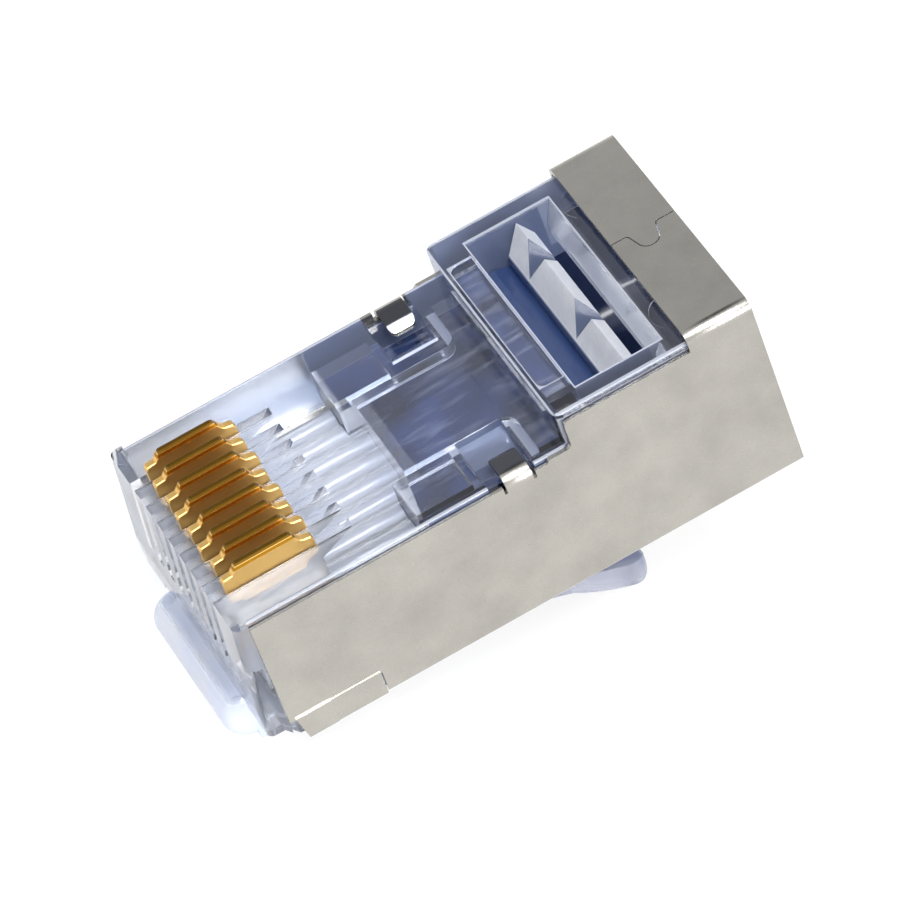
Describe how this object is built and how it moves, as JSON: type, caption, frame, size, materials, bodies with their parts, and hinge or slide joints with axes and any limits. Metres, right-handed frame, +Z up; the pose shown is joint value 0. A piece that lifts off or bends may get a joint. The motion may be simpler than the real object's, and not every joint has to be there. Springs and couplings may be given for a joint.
{
  "type": "modular plug",
  "caption": "Uncrimped shielded modular plug: clear body with sprung latch, plated contacts, folded metal shield and strain-relief bar in a rear window.",
  "frame": {"origin": "on the table under the middle of the plug's extent, as the loose plug rests on the round root and the tail of its latch", "axes": "+X towards the cable end along the table, +Y across the width to the side of the first contact, +Z up from the table; the contacts face up and the body leans nose down by about 17 degrees"},
  "size_m": [0.023, 0.0118, 0.0156],
  "materials": {
    "clear_polycarbonate": "clear moulded, faintly blue, with moulding ripples",
    "frosted_polycarbonate": "the same plastic with a frosted mould texture",
    "nickel_plated_sheet": "satin nickel plate on thin rolled sheet",
    "gold_plated_bronze": "bright gold plate over stamped bronze"
  },
  "bodies": {
    "body": {"housing": "clear_polycarbonate", "shield": "nickel_plated_sheet"},
    "latch": {"latch": "clear_polycarbonate"},
    "strain_relief_bar": {"strain_relief_bar": "frosted_polycarbonate"},
    "contact_1": {"contact_1": "gold_plated_bronze"},
    "contact_2": {"contact_2": "gold_plated_bronze"},
    "contact_3": {"contact_3": "gold_plated_bronze"},
    "contact_4": {"contact_4": "gold_plated_bronze"},
    "contact_5": {"contact_5": "gold_plated_bronze"},
    "contact_6": {"contact_6": "gold_plated_bronze"},
    "contact_7": {"contact_7": "gold_plated_bronze"},
    "contact_8": {"contact_8": "gold_plated_bronze"}
  },
  "joints": [
    {"name": "latch_flex", "type": "hinge", "parent": "body", "child": "latch", "pos_m": [-0.00996, 0, 0.00105], "axis": [0, -1, 0], "range_deg": [0, 9], "stiffness_Nm_per_rad": 0.2},
    {"name": "bar_crimp", "type": "hinge", "parent": "body", "child": "strain_relief_bar", "pos_m": [0.00343, 0, 0.01123], "axis": [0, 1, 0], "range_deg": [0, 25]},
    {"name": "contact_1_crimp", "type": "slide", "parent": "body", "child": "contact_1", "axis": [0.2892, 0, -0.9573], "range_m": [0, 0.0011]},
    {"name": "contact_2_crimp", "type": "slide", "parent": "body", "child": "contact_2", "axis": [0.2892, 0, -0.9573], "range_m": [0, 0.0011]},
    {"name": "contact_3_crimp", "type": "slide", "parent": "body", "child": "contact_3", "axis": [0.2892, 0, -0.9573], "range_m": [0, 0.0011]},
    {"name": "contact_4_crimp", "type": "slide", "parent": "body", "child": "contact_4", "axis": [0.2892, 0, -0.9573], "range_m": [0, 0.0011]},
    {"name": "contact_5_crimp", "type": "slide", "parent": "body", "child": "contact_5", "axis": [0.2892, 0, -0.9573], "range_m": [0, 0.0011]},
    {"name": "contact_6_crimp", "type": "slide", "parent": "body", "child": "contact_6", "axis": [0.2892, 0, -0.9573], "range_m": [0, 0.0011]},
    {"name": "contact_7_crimp", "type": "slide", "parent": "body", "child": "contact_7", "axis": [0.2892, 0, -0.9573], "range_m": [0, 0.0011]},
    {"name": "contact_8_crimp", "type": "slide", "parent": "body", "child": "contact_8", "axis": [0.2892, 0, -0.9573], "range_m": [0, 0.0011]}
  ]
}
